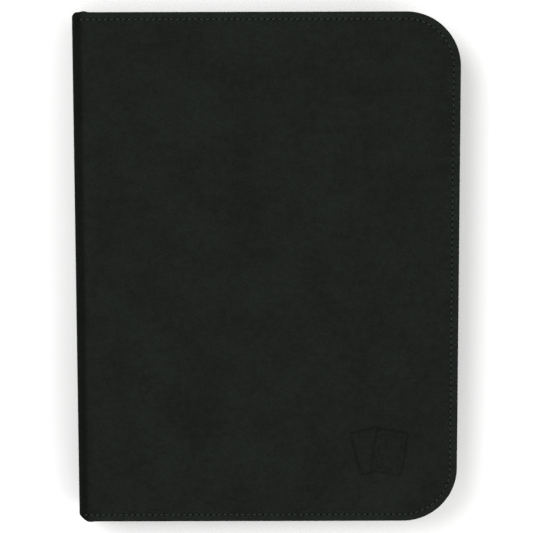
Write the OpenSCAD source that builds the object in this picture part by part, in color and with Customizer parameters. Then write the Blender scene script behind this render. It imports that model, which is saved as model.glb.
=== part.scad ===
// Zip-up trading card binder, closed and lying on its back cover.
//
// Row frame in millimetres: +X from the spine to the fore edge, +Y from the tail to the head,
// +Z from the back cover to the front cover. The origin is the centre of the closed binder's
// footprint, on the outer face of the back cover.
//
// The two covers are mirror images about the mid height. The spine folds down about the back
// crease, the front cover folds up about the front crease, and each page turns about its own
// hinge line at the end of a short strip that stands on the spine.

/* [Case] */
// Width of the closed binder, from the spine to the fore edge
cover_w = 268; // [262:1:290]
// Height of the binder, from the tail to the head
cover_h = 357; // [345:1:380]
// Thickness of the closed binder
case_t = 34; // [34:0.5:38]
// Radius of the two corners at the fore edge
corner_r = 38; // [34:1:46]
// Radius of the soft edges along the spine
edge_r = 3; // [2:0.25:3.5]

/* [Cover layers] */
// Thickness of the outer skin
skin_t = 0.8; // [0.6:0.1:1]
// Thickness of the foam padding under the skin
padding_t = 1.2; // [1:0.1:1.4]
// Thickness of the stiffening board
board_t = 2; // [1.8:0.1:2.2]
// Thickness of the inner lining
lining_t = 0.5; // [0.4:0.1:0.6]

/* [Pages] */
// Distance between two pages when the binder is shut
page_pitch = 1.2; // [1.1:0.05:1.2]
// Height of a page
page_h = 304; // [296:1:306]
// Distance from the fore edge of a page to the fore edge of the covers
page_fore_gap = 18; // [16:1:22]
// Width of one column of pockets
pocket_w = 74; // [70:1:75]

/* [Zip] */
// Distance from the cover's edge to the middle of the zip tape
zip_inset = 5.6; // [5.5:0.1:6]
// Distance from the cover's edge to the line of stitching
stitch_inset = 4.6; // [4.2:0.1:4.6]

/* [Hidden] */
$fn = 96;
page_count = 20; // two-sided pages, nine pockets a side
half_count = page_count / 2;

x_spine = -cover_w / 2; // outer face of the spine, and both crease axes
x_fore = cover_w / 2;
y_head = cover_h / 2;
z_mid = case_t / 2;
panel_t = skin_t + padding_t + board_t + lining_t;

// Cover panels
crease_gap = 0.15; // each side of the line where two skins meet at a crease
core_left = x_spine + 5.2; // padding and board stop here, so that the crease can fold
hem_left = x_spine + 5; // the skin is turned in from here to the fore edge
hem_w = 7; // width of the skin that is turned in round the edge
hem_z = skin_t + padding_t;
board_inset = hem_w + 0.2;
lining_inset = zip_inset + 0.6;
eps = 0.01;

// Stitching
stitch_left = x_spine + 4;
thread_w = 0.4;
groove_w = 0.6;
groove_depth = 0.25;
thread_sink = 0.02;

// Zip tape and coil
tape_t = 0.6;
flange_out = 1.6; // inset of the tape's sewn flange, from the cover's edge
flange_in = 7;
flange_z = hem_z + skin_t;
flange_top = skin_t + padding_t + board_t;
web_left = x_spine + 15;
coil_gap = 1.2; // between the two coils, which leaves room for the slider's wedge
coil_h = 2; // of one coil, across the tape
coil_half_t = 1.2; // half of a coil's thickness
web_top = z_mid - coil_gap / 2 - coil_h;
stop_l = 2;
coil_left = x_spine + 19;
front_coil_left = x_spine + 36.6; // clear of the slider as the front cover swings away

// Slider, parked at the tail end of the zip beside the spine
slider_x = x_spine + 20;
slider_l = 12;
slider_half_w = 4.3;
slider_half_t = 2.6;
nose_l = 1.5; // the slider narrows to a nose over this length
nose_cut = 1.3;
shoulder_l = 7; // the slider is at its full width up to here, and tapers to its tail
tail_cut = 0.5;
wedge_start = 0.5; // from the nose to the wedge
channel_slack = 0.2;
channel_half_t = 1.45;
channel_half_h = coil_gap / 2 + coil_h + channel_slack;
slot_half_t = 0.5;
wedge_l = 3;
wedge_half_h = 0.4;
zip_y = -y_head + zip_inset; // middle of the tape along the tail

// Bail and pull
bail_x0 = slider_x + 2;
bail_l = 8;
bail_t = 0.8;
bail_half_w = 1.2;
bail_room = 1.3; // between the slider and the bail, for the pull's bar
bail_out = slider_half_t + bail_room + bail_t;
pull_x = bail_x0 + bail_l / 2; // pull hinge axis, along Z
pull_y = zip_y - slider_half_t - bail_room / 2;
pull_bar_r = 0.5;
link_half_w = 2.7;
link_l = 8.2;
link_arm = 1; // width of each arm, and about that of the end bar
link_bar = 1.2;
tongue_l = 5;
tongue_half_w = 1.8;
tongue_half_t = 0.3;
tab_l = 27;
tab_half_w = 4;
tab_half_t = 0.8;
rivet_r = 1.2;
rivet_head_r = 1.9;
rivet_head_t = 0.25;
rivet_x = link_l + 3; // from the pull's hinge axis

// Spine
spine_end = panel_t + 0.2; // the spine's core stops this far from each outer face
spine_face = x_spine + panel_t; // inner face of the spine
gusset_t = 0.8;
gusset_l = 10.7; // from the spine's hem to just short of the zip tape
gusset_end = panel_t + 0.7;

// Page block
page_t = 0.4;
backing_t = 0.2;
film_t = 0.1;
hinge_gap = 0.3;
hinge_first = 1.5; // distance from the spine to the hinge of the first and last page
hinge_step = 0.7; // each page nearer the middle hinges this much further from the spine
page_x1 = x_fore - page_fore_gap;
page_corner_r = 6;
page_margin = 5; // of the page above and below the pockets
pocket_edge = 4; // from the last column to the fore edge of the page
slit_w = 1; // open side of each column, where the cards go in
pocket_h = page_h - 2 * page_margin;
binding_t = 0.5;

function page_z(k) = z_mid + page_pitch * (half_count + 0.5 - k);
function page_rank(k) = k <= half_count ? k - 1 : page_count - k;
function page_hinge_x(k) = spine_face + hinge_first + hinge_step * page_rank(k);
function two_digits(k) = k < 10 ? str("0", k) : str(k);

// ---- outlines ----

// The cover's outline, drawn in by inset, from x = left to the fore edge.
module outline(inset, left) {
    r = corner_r - inset;
    x1 = x_fore - inset;
    y1 = y_head - inset;
    translate([left, -y1])
        square([x1 - r - left, 2 * y1]);
    translate([left, r - y1])
        square([x1 - left, 2 * (y1 - r)]);
    for (side = [-1, 1])
        translate([x1 - r, side * (y1 - r)])
            circle(r);
}

module slab(inset, left, z, t) {
    translate([0, 0, z])
        linear_extrude(t)
            outline(inset, left);
}

// A U-shaped band round the head, the fore edge and the tail, open at the spine.
module rim(inset_out, inset_in, left, z, t) {
    translate([0, 0, z])
        linear_extrude(t)
            difference() {
                outline(inset_out, left);
                outline(inset_in, left - 1);
            }
}

// The front cover is the back cover mirrored about the mid height.
module as_front() {
    translate([0, 0, case_t])
        mirror([0, 0, 1])
            children();
}

// Half of the space at the tail side, which trims a band at its tail end only.
module tail_trim(left, right) {
    translate([left, -y_head - 1, -1])
        cube([right - left, y_head, case_t + 2]);
}

// ---- cover panels, drawn as the back cover ----

module cover_skin() {
    difference() {
        union() {
            slab(0, x_spine + edge_r, 0, skin_t);
            crease_roll(false);
            rim(0, skin_t, hem_left, skin_t - eps, padding_t + skin_t + eps);
            rim(0, hem_w, hem_left, hem_z, skin_t);
        }
        rim(stitch_inset - groove_w / 2, stitch_inset + groove_w / 2, stitch_left, -eps, groove_depth + eps);
    }
}

// One half of the skin's soft bend along the back crease: the spine's half or the cover's.
module crease_roll(on_spine) {
    reach = 2 * edge_r;
    gap = 2 * crease_gap;
    translate([x_spine + edge_r, y_head, edge_r])
        rotate([90, 0, 0])
            linear_extrude(cover_h)
                intersection() {
                    difference() {
                        circle(edge_r);
                        circle(edge_r - skin_t);
                    }
                    if (on_spine)
                        polygon([[-gap, 0], [-reach, 0], [-reach, gap - reach]]);
                    else
                        polygon([[eps, eps - gap], [eps, -reach], [gap - reach, -reach]]);
                }
}

module cover_padding() {
    slab(skin_t, core_left, skin_t, padding_t);
}

module cover_board() {
    slab(board_inset, core_left, hem_z, board_t);
}

module cover_lining() {
    slab(lining_inset, core_left, panel_t - lining_t, lining_t);
}

module cover_stitching() {
    rim(
        stitch_inset - thread_w / 2, stitch_inset + thread_w / 2, stitch_left,
        thread_sink, groove_depth - 2 * thread_sink
    );
}

// ---- zip, drawn for the back cover ----

module cover_zip_tape() {
    rim(flange_out, flange_in, core_left, flange_z, flange_top - flange_z);
    rim(
        zip_inset - tape_t / 2, zip_inset + tape_t / 2, web_left,
        flange_top - eps, web_top - flange_top + eps
    );
}

module cover_zip_coil(tail_left) {
    difference() {
        rim(zip_inset - coil_half_t, zip_inset + coil_half_t, coil_left, web_top, coil_h);
        if (tail_left > coil_left)
            tail_trim(coil_left - 1, tail_left);
    }
}

module zip_stop(left, side) {
    translate([left - stop_l, side * (y_head - zip_inset) - coil_half_t, web_top])
        cube([stop_l, 2 * coil_half_t, coil_h]);
}

module cover_zip_stops(tail_left) {
    zip_stop(coil_left, 1);
    zip_stop(tail_left, -1);
}

// ---- spine ----

module spine_layer(x0, t, z_in, y_in) {
    translate([x_spine + x0, -y_head + y_in, z_in])
        cube([t, cover_h - 2 * y_in, case_t - 2 * z_in]);
}

module spine_skin() {
    translate([x_spine, -y_head, edge_r])
        cube([skin_t, cover_h, case_t - 2 * edge_r]);
    crease_roll(true);
    as_front()
        crease_roll(true);
    for (side = [-1, 1]) {
        translate([x_spine + skin_t - eps, side > 0 ? y_head - skin_t : -y_head, spine_end])
            cube([padding_t + skin_t + eps, skin_t, case_t - 2 * spine_end]);
        translate([x_spine + hem_z, side > 0 ? y_head - hem_w : -y_head, spine_end])
            cube([skin_t, hem_w, case_t - 2 * spine_end]);
    }
}

module spine_padding() {
    spine_layer(skin_t, padding_t, spine_end, skin_t);
}

module spine_board() {
    spine_layer(hem_z, board_t, spine_end, board_inset);
}

module spine_lining() {
    spine_layer(panel_t - lining_t, lining_t, spine_end, lining_inset);
}

// Closes one end of the case between the spine and the start of the zip.
module gusset(side) {
    translate([x_spine + flange_z, side * (y_head - zip_inset) - gusset_t / 2, gusset_end])
        cube([gusset_l, gusset_t, case_t - 2 * gusset_end]);
}

// ---- pages ----

module page_binding_tape() {
    translate([spine_face, -page_h / 2, gusset_end])
        cube([binding_t, page_h, case_t - 2 * gusset_end]);
}

// Each strip ends in a rounded weld on its page's hinge line.
module page_hinge_strips() {
    x0 = spine_face + binding_t;
    for (k = [1:page_count]) {
        translate([x0, -page_h / 2, page_z(k) - page_t / 2])
            cube([page_hinge_x(k) - x0, page_h, page_t]);
        translate([page_hinge_x(k), page_h / 2, page_z(k)])
            rotate([90, 0, 0])
                cylinder(r = page_t / 2, h = page_h, $fn = 32);
    }
}

module page_backing(x0) {
    r = page_corner_r;
    translate([0, 0, -backing_t / 2])
        linear_extrude(backing_t) {
            translate([x0, -page_h / 2])
                square([page_x1 - r - x0, page_h]);
            translate([x0, r - page_h / 2])
                square([page_x1 - x0, page_h - 2 * r]);
            for (side = [-1, 1])
                translate([page_x1 - r, side * (page_h / 2 - r)])
                    circle(r);
        }
}

// One clear film, welded on three sides and open along the slit that faces the spine.
module pocket_film(column, side) {
    x0 = page_x1 - pocket_edge - pocket_w * (column + 1) + slit_w;
    z0 = side > 0 ? backing_t / 2 : -backing_t / 2 - film_t;
    translate([x0, -pocket_h / 2, z0])
        cube([pocket_w - slit_w, pocket_h, film_t]);
}

module page(k) {
    translate([0, 0, page_z(k)]) {
        color([0.05, 0.05, 0.05])
            page_backing(page_hinge_x(k) + hinge_gap);
        color([0.75, 0.78, 0.8])
            for (column = [0:2], side = [-1, 1])
                pocket_film(column, side);
    }
}

// ---- slider and pull ----

// Draws in the tape's plane at the tail: x along the zip, y across it, z outwards.
module in_zip_plane() {
    translate([0, zip_y, z_mid])
        rotate([90, 0, 0])
            children();
}

module slider_shape() {
    x0 = slider_x;
    x1 = slider_x + slider_l;
    w = slider_half_w;
    linear_extrude(2 * slider_half_t, center = true)
        polygon([
            [x0, nose_cut - w], [x0 + nose_l, -w], [x0 + shoulder_l, -w], [x1, tail_cut - w],
            [x1, w - tail_cut], [x0 + shoulder_l, w], [x0 + nose_l, w], [x0, w - nose_cut]
        ]);
}

module slider_bail() {
    for (x = [bail_x0, bail_x0 + bail_l - bail_t])
        translate([x, -bail_half_w, slider_half_t - eps])
            cube([bail_t, 2 * bail_half_w, bail_out - slider_half_t + eps]);
    translate([bail_x0, -bail_half_w, bail_out - bail_t])
        cube([bail_l, 2 * bail_half_w, bail_t]);
}

module zip_slider() {
    in_zip_plane() {
        difference() {
            slider_shape();
            translate([slider_x - 1, -channel_half_h, -channel_half_t])
                cube([slider_l + 2, 2 * channel_half_h, 2 * channel_half_t]);
            translate([slider_x - 1, -slider_half_w - 1, -slot_half_t])
                cube([slider_l + 2, 2 * slider_half_w + 2, 2 * slot_half_t]);
        }
        translate([slider_x + wedge_start, -wedge_half_h, -channel_half_t - eps])
            cube([wedge_l, 2 * wedge_half_h, 2 * channel_half_t + 2 * eps]);
        slider_bail();
    }
}

// Draws at the pull's hinge axis: x along the zip, y across it, z outwards.
module at_pull() {
    translate([pull_x, pull_y, z_mid])
        rotate([90, 0, 0])
            children();
}

module pull_tongue() {
    translate([link_l - link_bar / 2, -tongue_half_w, -tongue_half_t])
        cube([tongue_l + link_bar / 2, 2 * tongue_half_w, 2 * tongue_half_t]);
}

module pull_rivet_hole() {
    translate([rivet_x, 0, 0])
        cylinder(r = rivet_r, h = 4 * tab_half_t, center = true);
}

module zip_pull_link() {
    at_pull() {
        rotate([90, 0, 0])
            cylinder(r = pull_bar_r, h = 2 * link_half_w, center = true);
        for (side = [-1, 1])
            translate([0, side > 0 ? link_half_w - link_arm : -link_half_w, -pull_bar_r])
                cube([link_l, link_arm, 2 * pull_bar_r]);
        difference() {
            union() {
                translate([link_l - link_bar, -link_half_w, -pull_bar_r])
                    cube([link_bar, 2 * link_half_w, 2 * pull_bar_r]);
                pull_tongue();
            }
            pull_rivet_hole();
        }
    }
}

module zip_pull_tab() {
    x0 = link_l;
    x1 = x0 + tab_l - tab_half_w;
    at_pull()
        difference() {
            translate([0, 0, -tab_half_t])
                linear_extrude(2 * tab_half_t) {
                    translate([x0, -tab_half_w])
                        square([x1 - x0, 2 * tab_half_w]);
                    translate([x1, 0])
                        circle(tab_half_w);
                }
            pull_tongue();
            pull_rivet_hole();
        }
}

module zip_pull_rivet() {
    at_pull()
        translate([rivet_x, 0, 0]) {
            cylinder(r = rivet_r, h = 2 * tab_half_t, center = true);
            for (side = [-1, 1])
                translate([0, 0, side * (tab_half_t + rivet_head_t / 2)])
                    cylinder(r = rivet_head_r, h = rivet_head_t, center = true);
        }
}

// ---- nodes ----

skin_colour = [0.13, 0.14, 0.13];
tape_colour = [0.07, 0.07, 0.07];
thread_colour = [0.2, 0.22, 0.21];

color(skin_colour) cover_skin();  // back_skin
color("gray") cover_padding();  // back_padding
color("dimgray") cover_board();  // back_board
color("black") cover_lining();  // back_lining
color(thread_colour) cover_stitching();  // back_stitching
color(tape_colour) cover_zip_tape();  // back_zip_tape
color("black") cover_zip_coil(coil_left);  // back_zip_coil
color("dimgray") cover_zip_stops(coil_left);  // back_zip_stops

color(skin_colour) as_front() cover_skin();  // front_skin
color("gray") as_front() cover_padding();  // front_padding
color("dimgray") as_front() cover_board();  // front_board
color("black") as_front() cover_lining();  // front_lining
color(thread_colour) as_front() cover_stitching();  // front_stitching
color(tape_colour) as_front() cover_zip_tape();  // front_zip_tape
color("black") as_front() cover_zip_coil(front_coil_left);  // front_zip_coil
color("dimgray") as_front() cover_zip_stops(front_coil_left);  // front_zip_stops

color(skin_colour) spine_skin();
color("gray") spine_padding();
color("dimgray") spine_board();
color("black") spine_lining();
color(tape_colour) gusset(1);  // head_gusset
color(tape_colour) gusset(-1);  // tail_gusset
color(tape_colour) page_binding_tape();
color("black") page_hinge_strips();

for (k = [1:page_count])
    page(k);

color("dimgray") zip_slider();
color("dimgray") zip_pull_link();
color(skin_colour) zip_pull_tab();
color("dimgray") zip_pull_rivet();
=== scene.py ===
"""Looks of a zip-up trading card binder, lying closed on its back cover.

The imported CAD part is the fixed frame. Lengths are in millimetres, in the CAD frame: +X from the spine to
the fore edge, +Y from the tail to the head, +Z from the back cover to the front cover.

Cover skins and stitches are built flat, in an unrolled sheet of s (from the middle of the spine, round the
spine's soft edge and across the cover), y (along the spine) and n (outward from the skin's face), and then
wrapped on to the front cover. Zips and linings are built on the back cover. mirrored() takes either to the
other cover.
"""

import math
from collections import namedtuple

import bpy
import numpy as np
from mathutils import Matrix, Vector


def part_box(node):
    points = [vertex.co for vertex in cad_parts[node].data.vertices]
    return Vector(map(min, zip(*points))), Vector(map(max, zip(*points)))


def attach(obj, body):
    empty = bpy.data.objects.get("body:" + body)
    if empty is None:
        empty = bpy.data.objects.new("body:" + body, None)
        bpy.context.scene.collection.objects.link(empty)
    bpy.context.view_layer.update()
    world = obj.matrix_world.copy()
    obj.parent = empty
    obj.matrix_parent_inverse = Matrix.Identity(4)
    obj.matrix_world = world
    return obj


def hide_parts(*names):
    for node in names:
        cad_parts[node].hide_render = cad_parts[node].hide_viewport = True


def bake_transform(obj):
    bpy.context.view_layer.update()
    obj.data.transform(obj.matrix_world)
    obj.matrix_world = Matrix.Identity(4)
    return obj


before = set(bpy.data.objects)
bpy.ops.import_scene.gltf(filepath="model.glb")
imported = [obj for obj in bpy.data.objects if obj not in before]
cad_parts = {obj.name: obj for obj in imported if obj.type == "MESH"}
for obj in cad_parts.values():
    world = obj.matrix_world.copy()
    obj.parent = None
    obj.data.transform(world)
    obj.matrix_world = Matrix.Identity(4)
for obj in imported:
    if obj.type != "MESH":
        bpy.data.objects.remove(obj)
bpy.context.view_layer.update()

MM = 0.001

# Case
WIDTH, HEIGHT, THICK = 268, 357, 34
X_SPINE, X_FORE, Y_HEAD, Z_MID = -WIDTH / 2, WIDTH / 2, HEIGHT / 2, THICK / 2
CORNER_R = 38
EDGE_R = 4.5  # soft edge along the spine
SKIN_T = 2.8  # padded skin, with its turned-in edge
SPINE_SKIN_T = 4.15
PANEL_T = 4.5
LINING_IN = 6.3  # from the cover's edge to the lining's
SPINE_LINING_IN = 6.2  # from the outer faces to the spine lining's edges

# Unrolled skin: s at the end of the flat spine, and at the start of the flat cover
S_SPINE = THICK / 2 - EDGE_R
S_COVER = S_SPINE + EDGE_R * math.pi / 2
S_FORE = S_COVER + X_FORE - X_SPINE - EDGE_R
S_GROOVE = S_COVER + 3.6  # hinge groove, where the board stops
RIM = 10  # width of the band that is meshed in rings along the edge
FOLD_R, UNDER_R = 1.35, 0.55  # the folded edge, over and under
FRONT_SEED, BACK_SEED = 11, 31

# The pressed mark
MARK_S, MARK_Y = S_FORE - 54, -Y_HEAD + 50

# Stitching
STITCH_IN = 5.1
STITCH_PITCH = 4.12
STITCH_START = 3.2  # from the spine's face

# Zip
ZIP_IN = 5.6
FLANGE_TOP = 4.0
WEB_TOP = 14.4
TAPE_T, TAPE_WIDTH = 0.58, 15.5
TAPE_START = X_SPINE + 13.2
COIL_START = X_SPINE + 19
TEETH_PITCH = 1.3

# Pages
PAGES = 20
PAGE_H = 304
PAGE_X1 = X_FORE - 18
PAGE_HALF_T = 0.1
POCKET_W = 74
POCKET_EDGE = 4  # from the page's fore edge to its pockets
POCKET_Y0 = 5 - PAGE_H / 2
POCKET_H = (PAGE_H - 10) / 3

# Camera
CAMERA_TILT, CAMERA_ROLL = math.radians(5.5), math.radians(-0.15)
CAMERA_DISTANCE, CAMERA_UP, CAMERA_LENS = 1.0, 3.1, 97


# -------- node materials


class Nodes:
    """A material's node tree, with short calls to add and join nodes."""

    def __init__(self, name):
        self.mat = bpy.data.materials.new(name)
        self.mat.use_nodes = True
        self.tree = self.mat.node_tree
        self.tree.nodes.clear()

    def new(self, kind):
        return self.tree.nodes.new("ShaderNode" + kind)

    def put(self, socket, value):
        """Link another node's output, or set a constant on the socket itself."""
        if isinstance(value, bpy.types.NodeSocket):
            self.tree.links.new(value, socket)
        else:
            socket.default_value = (*value, 1) if socket.type == "RGBA" else value

    def add(self, kind, **inputs):
        node = self.new(kind)
        for key, value in inputs.items():
            name = key.replace("_", " ").lower()
            self.put(next(s for s in node.inputs if s.name.lower() == name and s.enabled), value)
        return node

    def uv(self, scale=1.0, stretch=(1, 1)):
        coord = self.new("UVMap")
        size = (scale * stretch[0], scale * stretch[1], 1)
        return self.add("Mapping", Vector=coord.outputs["UV"], Scale=size).outputs["Vector"]

    def place(self):
        return self.new("TexCoord").outputs["Object"]

    def noise(self, vector, scale, detail=3, roughness=0.5):
        node = self.add("TexNoise", Vector=vector, Scale=scale, Detail=detail, Roughness=roughness)
        return node.outputs["Fac"]

    def ramp(self, fac, *stops):
        """Two stops, each with its place and its colour or grey."""
        node = self.new("ValToRGB")
        for element, (at, colour) in zip(node.color_ramp.elements, stops):
            element.position = at
            element.color = (*colour, 1) if isinstance(colour, tuple) else (colour, colour, colour, 1)
        self.put(node.inputs["Fac"], fac)
        return node.outputs["Color"]

    def math(self, operation, a, b=0.0):
        node = self.new("Math")
        node.operation = operation
        self.put(node.inputs[0], a)
        self.put(node.inputs[1], b)
        return node.outputs[0]

    def summed(self, a, part_a, b, part_b):
        return self.math("ADD", self.math("MULTIPLY", a, part_a), self.math("MULTIPLY", b, part_b))

    def ridges(self, x):
        """Round ridges, one for each unit of x."""
        return self.math("ABSOLUTE", self.math("SINE", self.math("MULTIPLY", x, math.pi)))

    def times(self, a, b):
        node = self.new("Mix")
        node.data_type, node.blend_type = "RGBA", "MULTIPLY"
        node.inputs["Factor"].default_value = 1
        self.put(node.inputs["A"], a)
        self.put(node.inputs["B"], b)
        return node.outputs["Result"]

    def bump(self, height, strength, distance, normal=None):
        under = {} if normal is None else {"Normal": normal}
        node = self.add("Bump", Strength=strength, Distance=distance, Height=height, **under)
        return node.outputs["Normal"]

    def finish(self, shader):
        self.put(self.new("OutputMaterial").inputs["Surface"], shader)
        return self.mat

    def surface(self, **inputs):
        return self.finish(self.add("BsdfPrincipled", **inputs).outputs["BSDF"])


def suede(name, dark, light, gloss):
    """Matt brushed leatherette: cloudy pile, fine fibre grain and a soft sheen, times each skin's painted
    shade and tone.
    """
    m = Nodes(name)
    uv = m.uv()
    blotch, grain = m.noise(uv, 190, 5, 0.65), m.noise(uv, 640, 5, 0.75)
    fibre = m.noise(m.uv(1, (1, 0.45)), 2600, 3, 0.65)
    wear = m.summed(m.noise(uv, 34, 4, 0.6), 0.4, blotch, 0.6)
    base = m.times(m.ramp(wear, (0.4, dark), (0.6, light)), m.ramp(grain, (0.36, 0.58), (0.64, 0.92)))
    # painted shade darkens the colour on the spine's rolled edge and in the pressed mark's lines, and the
    # colour is paler just outside the stitching
    pile_tone_and_painted_shade = m.new("Attribute")
    pile_tone_and_painted_shade.attribute_name = "pile_tone_and_painted_shade"
    base = m.times(base, m.math("ADD", pile_tone_and_painted_shade.outputs["Fac"], 1.0))
    return m.surface(Base_Color=base, Roughness=m.ramp(blotch, (0.3, 0.74), (0.7, 0.9)),
                     Normal=m.bump(fibre, 0.3, 0.16 * MM, m.bump(grain, 0.35, 0.35 * MM)),
                     Specular_IOR_Level=gloss, Sheen_Weight=gloss / 4, Sheen_Roughness=0.45,
                     Sheen_Tint=(0.62, 0.72, 0.66))


def woven(name, dark, light, pitch, twill, sheen):
    """Plain or twill weave: two crossed sets of threads, with slubs and lint."""
    m = Nodes(name)
    parts = m.add("SeparateXYZ", Vector=m.uv(1 / pitch))
    x, y = parts.outputs[0], parts.outputs[1]
    slant = m.math("ADD", x, m.math("MULTIPLY", y, twill))
    height = m.math("MULTIPLY", m.ridges(slant), m.ridges(y))
    lint = m.noise(m.uv(), 420, 4, 0.6)
    slub = m.noise(m.uv(1, (1, 0.1)), 900, 2, 0.5)
    tone = m.summed(height, 0.5, m.math("ADD", lint, slub), 0.3)
    return m.surface(Base_Color=m.ramp(tone, (0.2, dark), (0.75, light)),
                     Roughness=m.ramp(lint, (0.3, 0.72), (0.7, 0.92)),
                     Normal=m.bump(lint, 0.25, 0.2 * MM, m.bump(height, 0.7, 0.12 * MM)),
                     Specular_IOR_Level=0.25, Sheen_Weight=sheen)


def thread(lay_width=0.32 * MM):
    """Twisted polyester thread, with the twist running across each stitch."""
    m = Nodes("thread")
    parts = m.add("SeparateXYZ", Vector=m.uv(1 / lay_width))
    ply = m.ridges(m.math("ADD", parts.outputs[0], m.math("MULTIPLY", parts.outputs[1], 0.9)))
    fuzz = m.noise(m.uv(), 2400, 3, 0.6)
    base = m.ramp(m.summed(ply, 0.6, fuzz, 0.4), (0.15, (0.011, 0.014, 0.012)), (0.8, (0.030, 0.038, 0.032)))
    return m.surface(Base_Color=base, Roughness=m.ramp(fuzz, (0.3, 0.5), (0.7, 0.7)),
                     Normal=m.bump(ply, 0.8, 0.08 * MM), Specular_IOR_Level=0.12)


def plastic(name, dark, light, rough, scale):
    """Moulded nylon or film: fine drawing lines and handling marks."""
    m = Nodes(name)
    uv = m.uv()
    marks = m.noise(uv, scale, 4, 0.6)
    base = m.ramp(m.summed(marks, 0.5, m.noise(uv, 60, 3, 0.5), 0.5), (0.35, dark), (0.65, light))
    return m.surface(Base_Color=base, Roughness=m.ramp(marks, (0.3, rough[0]), (0.7, rough[1])),
                     Normal=m.bump(marks, 0.12, 0.1 * MM))


def metal():
    """Gunmetal plating on a zinc casting: cast pits and paler rubbed patches."""
    m = Nodes("dark plated zinc")
    at = m.place()
    rubbed = m.noise(at, 520, 5, 0.65)
    base = m.ramp(rubbed, (0.42, (0.050, 0.051, 0.053)), (0.7, (0.150, 0.152, 0.156)))
    return m.surface(Base_Color=base, Metallic=1.0, Roughness=m.ramp(rubbed, (0.3, 0.44), (0.75, 0.26)),
                     Normal=m.bump(m.noise(at, 5200, 3, 0.6), 0.2, 0.08 * MM))


def clear_film():
    """Clear pocket film: see-through face on, with a soft glossy skin and faint haze."""
    m = Nodes("clear pocket film")
    uv = m.uv()
    haze = m.noise(uv, 240, 4, 0.6)
    normal = m.bump(haze, 0.08, 0.2 * MM, m.bump(m.noise(uv, 34, 2, 0.4), 0.35, 1.2 * MM))
    gloss = m.add("BsdfGlossy", Color=(0.9, 0.93, 0.95), Roughness=m.ramp(haze, (0.3, 0.1), (0.7, 0.2)),
                  Normal=normal)
    see = m.add("BsdfTransparent", Color=(0.93, 0.94, 0.95))
    fresnel = m.add("Fresnel", IOR=1.45, Normal=normal)
    mixed = m.new("MixShader")
    sources = (m.summed(fresnel.outputs[0], 0.9, haze, 0.03), see.outputs[0], gloss.outputs[0])
    for socket, source in zip(mixed.inputs, sources):
        m.put(socket, source)
    return m.finish(mixed.outputs[0])


def board_card():
    """Grey board, pressed fibres."""
    m = Nodes("grey board")
    fibre = m.noise(m.place(), 900, 5, 0.7)
    base = m.ramp(fibre, (0.3, (0.10, 0.09, 0.08)), (0.7, (0.17, 0.155, 0.135)))
    return m.surface(Base_Color=base, Roughness=m.ramp(fibre, (0.3, 0.8), (0.7, 0.95)),
                     Normal=m.bump(fibre, 0.3, 0.2 * MM))


SUEDE = suede("suede leatherette", (0.0078, 0.0096, 0.0078), (0.0122, 0.0149, 0.0122), 0.05)
# painted shade: dark discs laid on the skin where the needle went through, standing in for the shade inside
# each hole
HOLE_SHADE = suede("painted needle hole shade", (0.0030, 0.0036, 0.0032), (0.0062, 0.0074, 0.0066), 0.0)
TAPE = woven("zip tape", (0.0075, 0.0085, 0.008), (0.02, 0.0225, 0.021), 0.6 * MM, 1.0, 0.12)
LINING = woven("lining cloth", (0.0085, 0.0095, 0.009), (0.022, 0.0245, 0.023), 0.42 * MM, 0.0, 0.15)
THREAD_DARK = woven("seam thread", (0.006, 0.007, 0.0065), (0.02, 0.022, 0.021), 0.5 * MM, 1.0, 0.1)
THREAD = thread()
NYLON = plastic("coil nylon", (0.008, 0.009, 0.0085), (0.022, 0.024, 0.023), (0.24, 0.4), 2600)
BACKING = plastic("page backing", (0.010, 0.011, 0.0105), (0.017, 0.0185, 0.0175), (0.42, 0.6), 700)
WELD = plastic("welded film", (0.030, 0.032, 0.031), (0.060, 0.063, 0.061), (0.3, 0.46), 1500)
METAL = metal()
FILM = clear_film()
BOARD = board_card()


# -------- meshes


def new_object(name, data):
    thing = bpy.data.objects.new(name, data)
    bpy.context.scene.collection.objects.link(thing)
    return thing


def mesh_object(name, points, faces, uvs, material, smooth=True):
    """A mesh from points and faces. uvs holds a pair for each point."""
    mesh = bpy.data.meshes.new(name)
    corners = [tuple(p) for p in np.asarray(points, float) * MM]
    mesh.from_pydata(corners, [], [tuple(map(int, f)) for f in faces])
    layer = mesh.uv_layers.new(name="UVMap")
    loops = np.zeros(len(mesh.loops), np.int64)
    mesh.loops.foreach_get("vertex_index", loops)
    layer.data.foreach_set("uv", (np.asarray(uvs, float) * MM).astype(np.float32)[loops].ravel())
    if smooth:
        mesh.polygons.foreach_set("use_smooth", np.ones(len(mesh.polygons), bool))
    mesh.update()
    mesh.materials.append(material)
    return new_object(name, mesh)


def settle(thing, body, slot, *replaced):
    """Fix a piece to its body, and hide the CAD nodes that it stands for. slot is not used."""
    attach(thing, body)
    if replaced:
        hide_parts(*replaced)


Corner = namedtuple("Corner", "x y z")


def box(node):
    """The two corners of a CAD node's box."""
    return [Corner(*(value / MM for value in corner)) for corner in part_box(node)]


def grid_faces(rows, cols, start=0, close=False, flip=False):
    """Quads between rows of cols points. close joins the last column to the first."""
    r = np.arange(rows - 1)[:, None]
    c = np.arange(cols if close else cols - 1)[None, :]
    n = (c + 1) % cols
    here, after = r * cols, (r + 1) * cols
    quad = np.stack([here + c, here + n, after + n, after + c], -1).reshape(-1, 4) + start
    return quad[:, ::-1] if flip else quad


def capped(rows, cols, outward=1):
    """The faces of a closed tube of rows rings, with its two ends filled."""
    ends = [tuple(range(cols))[::outward], tuple(range((rows - 1) * cols, rows * cols))[::-outward]]
    return [*grid_faces(rows, cols, close=True), *ends]


def rows_of(*columns):
    """Points or UV pairs, one to a row, from arrays of their coordinates."""
    return np.stack(np.broadcast_arrays(*columns), -1).reshape(-1, len(columns))


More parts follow.
